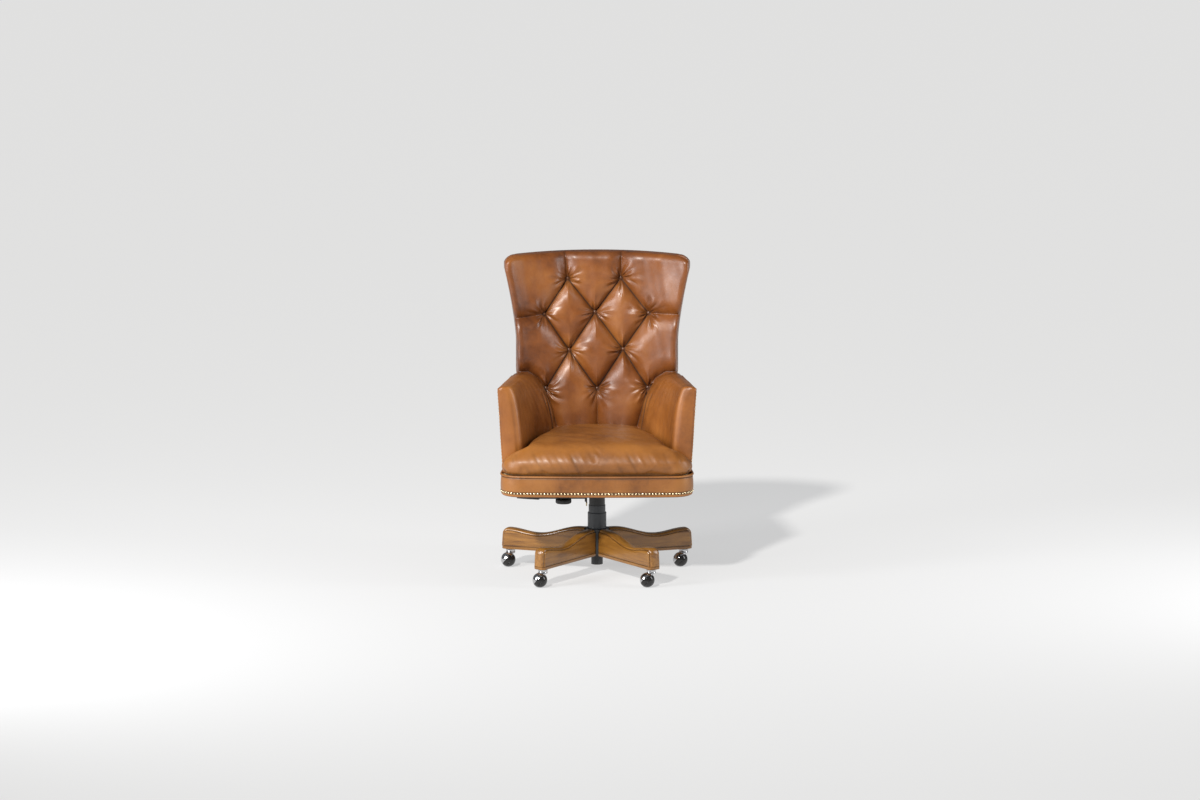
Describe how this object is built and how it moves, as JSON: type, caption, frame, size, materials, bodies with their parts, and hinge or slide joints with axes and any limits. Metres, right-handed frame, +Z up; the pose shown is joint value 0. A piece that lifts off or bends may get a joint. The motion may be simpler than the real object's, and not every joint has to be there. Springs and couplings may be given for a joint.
{
  "type": "swivel office chair",
  "caption": "Leather executive desk chair with a diamond-tufted back, scooped arms and crowned seat on a wooden five-leg caster base, with gas lift, swivel and tilt.",
  "frame": {"origin": "on the floor, on the swivel axis", "axes": "+Z up along the swivel axis, -Y the way a sitter faces (front of the seat), +X the sitter's left"},
  "size_m": [0.6946, 0.6672, 1.1047],
  "materials": {
    "wood": "satin",
    "frame_wood": "matte",
    "leather": "satin",
    "leather_dark": "satin",
    "brass": "satin",
    "chrome": "polished",
    "steel": "satin",
    "black_steel": "satin",
    "black_plastic": "satin",
    "cover_plastic": "satin",
    "wheel_plastic": "gloss",
    "bush_plastic": "satin",
    "cloth": "matte"
  },
  "bodies": {
    "base": {"base_hub": "black_steel", "leg_1": "wood", "leg_2": "wood", "leg_3": "wood", "leg_4": "wood", "leg_5": "wood", "leg_bolts": "steel", "caster_sockets": "chrome", "lift_outer_tube": "black_steel", "guide_bush": "bush_plastic", "thrust_bearing": "steel", "lower_cover": "cover_plastic"},
    "mid_cover": {"middle_cover": "cover_plastic"},
    "piston": {"piston_rod": "steel", "retaining_clip": "steel"},
    "lift": {"pressure_tube": "black_steel", "upper_cover": "black_plastic", "mechanism_housing": "black_steel", "pivot_shaft": "steel", "tilt_springs": "steel"},
    "valve": {"valve_button": "steel"},
    "lever": {"lever_rod": "black_steel", "lever_grip": "black_plastic", "lever_pin": "brass"},
    "tension": {"tension_knob": "black_plastic", "tension_screw": "steel"},
    "seat": {"seat_plate": "black_steel", "plate_bolts": "steel", "seat_frame": "frame_wood", "seat_deck": "frame_wood", "dust_cover": "cloth", "rail_band": "leather", "rail_nails": "brass", "seat_welt": "leather_dark", "seat_cushion": "leather", "back_frame": "frame_wood", "back_pad": "leather", "back_buttons": "leather_dark", "back_panel": "leather", "back_welt": "leather_dark", "back_nails": "brass", "arm_frame_right": "frame_wood", "arm_frame_left": "frame_wood", "arm_pad_right": "leather", "arm_pad_left": "leather", "arm_panel_right": "leather", "arm_panel_left": "leather", "arm_nails": "brass"},
    "caster_1": {"caster_hood_1": "chrome"},
    "wheel_1": {"caster_wheel_1": "wheel_plastic"},
    "caster_2": {"caster_hood_2": "chrome"},
    "wheel_2": {"caster_wheel_2": "wheel_plastic"},
    "caster_3": {"caster_hood_3": "chrome"},
    "wheel_3": {"caster_wheel_3": "wheel_plastic"},
    "caster_4": {"caster_hood_4": "chrome"},
    "wheel_4": {"caster_wheel_4": "wheel_plastic"},
    "caster_5": {"caster_hood_5": "chrome"},
    "wheel_5": {"caster_wheel_5": "wheel_plastic"}
  },
  "joints": [
    {"name": "swivel", "type": "hinge", "parent": "base", "child": "piston", "pos_m": [0, 0, 0.2], "axis": [0, 0, 1], "continuous": true},
    {"name": "gas_lift", "type": "slide", "parent": "piston", "child": "lift", "axis": [0, 0, 1], "range_m": [-0.045, 0.05]},
    {"name": "middle_cover_slide", "type": "slide", "parent": "base", "child": "mid_cover", "axis": [0, 0, 1], "range_m": [-0.0225, 0.025]},
    {"name": "tilt", "type": "hinge", "parent": "lift", "child": "seat", "pos_m": [0, -0.048, 0.305], "axis": [-1, 0, 0], "range_deg": [0, 12], "stiffness_Nm_per_rad": 150, "springref_deg": -20.05},
    {"name": "height_lever", "type": "hinge", "parent": "lift", "child": "lever", "pos_m": [-0.045, 0, 0.286], "axis": [0, 1, 0], "range_deg": [0, 6], "stiffness_Nm_per_rad": 2, "springref_deg": -5.73},
    {"name": "valve_press", "type": "slide", "parent": "lift", "child": "valve", "axis": [0, 0, -1], "range_m": [0, 0.0048]},
    {"name": "tension_turn", "type": "hinge", "parent": "lift", "child": "tension", "pos_m": [-0.118, -0.045, 0.262], "axis": [0, 0, 1], "range_deg": [-360, 360]},
    {"name": "caster_swivel_1", "type": "hinge", "parent": "base", "child": "caster_1", "pos_m": [0.18927, -0.2605, 0.05], "axis": [0, 0, 1], "continuous": true},
    {"name": "caster_roll_1", "type": "hinge", "parent": "caster_1", "child": "wheel_1", "pos_m": [0.17549, -0.27635, 0.026], "axis": [0.5337, -0.4639, -0.7071], "continuous": true},
    {"name": "caster_swivel_2", "type": "hinge", "parent": "base", "child": "caster_2", "pos_m": [0.30624, 0.0995, 0.05], "axis": [0, 0, 1], "continuous": true},
    {"name": "caster_roll_2", "type": "hinge", "parent": "caster_2", "child": "wheel_2", "pos_m": [0.2948, 0.08189, 0.026], "axis": [0.593, -0.3851, -0.7071], "continuous": true},
    {"name": "caster_swivel_3", "type": "hinge", "parent": "base", "child": "caster_3", "pos_m": [0, 0.322, 0.05], "axis": [0, 0, 1], "continuous": true},
    {"name": "caster_roll_3", "type": "hinge", "parent": "caster_3", "child": "wheel_3", "pos_m": [-0.0105, 0.30381, 0.026], "axis": [0.6124, -0.3536, -0.7071], "continuous": true},
    {"name": "caster_swivel_4", "type": "hinge", "parent": "base", "child": "caster_4", "pos_m": [-0.30624, 0.0995, 0.05], "axis": [0, 0, 1], "continuous": true},
    {"name": "caster_roll_4", "type": "hinge", "parent": "caster_4", "child": "wheel_4", "pos_m": [-0.31445, 0.08017, 0.026], "axis": [0.6509, -0.2763, -0.7071], "continuous": true},
    {"name": "caster_swivel_5", "type": "hinge", "parent": "base", "child": "caster_5", "pos_m": [-0.18927, -0.2605, 0.05], "axis": [0, 0, 1], "continuous": true},
    {"name": "caster_roll_5", "type": "hinge", "parent": "caster_5", "child": "wheel_5", "pos_m": [-0.19945, -0.27887, 0.026], "axis": [0.6184, -0.3428, -0.7071], "continuous": true}
  ],
  "couplings": [
    {"joint": "middle_cover_slide", "follows": "gas_lift", "ratio": 0.5},
    {"joint": "valve_press", "follows": "height_lever", "m_per_rad": 0.045}
  ]
}
